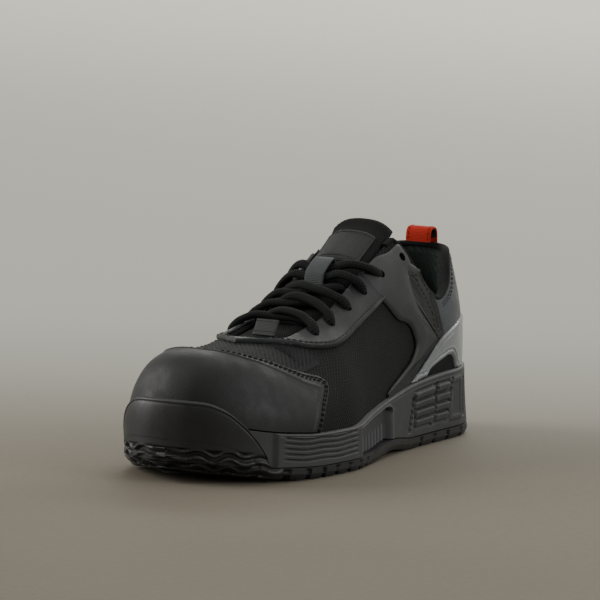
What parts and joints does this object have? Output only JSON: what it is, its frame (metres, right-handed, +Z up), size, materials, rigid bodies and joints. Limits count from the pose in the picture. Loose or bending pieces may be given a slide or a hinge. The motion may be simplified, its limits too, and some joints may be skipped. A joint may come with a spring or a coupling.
{
  "type": "safety sneaker",
  "caption": "Low-cut lace-up safety sneaker with a padded collar, capped toe, rubber toe bumper and cleated sole.",
  "frame": {"origin": "under the middle of the shoe's box, on the floor it stands on", "axes": "+Z up, the toe towards -Y, the outer side towards +X"},
  "size_m": [0.1121, 0.3015, 0.1299],
  "materials": {
    "outsole": "matt black rubber, satin on the toe bumper",
    "midsole": "matt moulded foam",
    "insole": "felted textile",
    "upper": "black mesh, ribbed over the vamp",
    "toe_cap": "finely grained black overlay with a soft sheen",
    "eyestay": "smooth dark grey overlay",
    "saddle": "dark grey nubuck",
    "heel_counter": "smooth moulded overlay with a satin sheen",
    "collar_lining": "padded black knit",
    "tongue": "padded textile",
    "label": "smooth woven label",
    "lace_keeper": "grey webbing",
    "pull_loop": "red-orange webbing",
    "lace": "round black braid"
  },
  "bodies": {
    "root": {"outsole": "outsole", "midsole": "midsole", "insole": "insole", "upper": "upper", "toe_cap": "toe_cap", "eyestay": "eyestay", "saddle_outer": "saddle", "saddle_inner": "saddle", "heel_counter": "heel_counter", "collar_lining": "collar_lining", "tongue": "tongue", "tongue_label": "label", "vamp_tag": "label", "lace_keeper": "lace_keeper", "pull_loop": "pull_loop", "lace_crossing_1": "lace", "lace_crossing_2": "lace", "lace_crossing_3": "lace", "lace_band_1": "lace", "lace_band_2": "lace"}
  },
  "joints": []
}
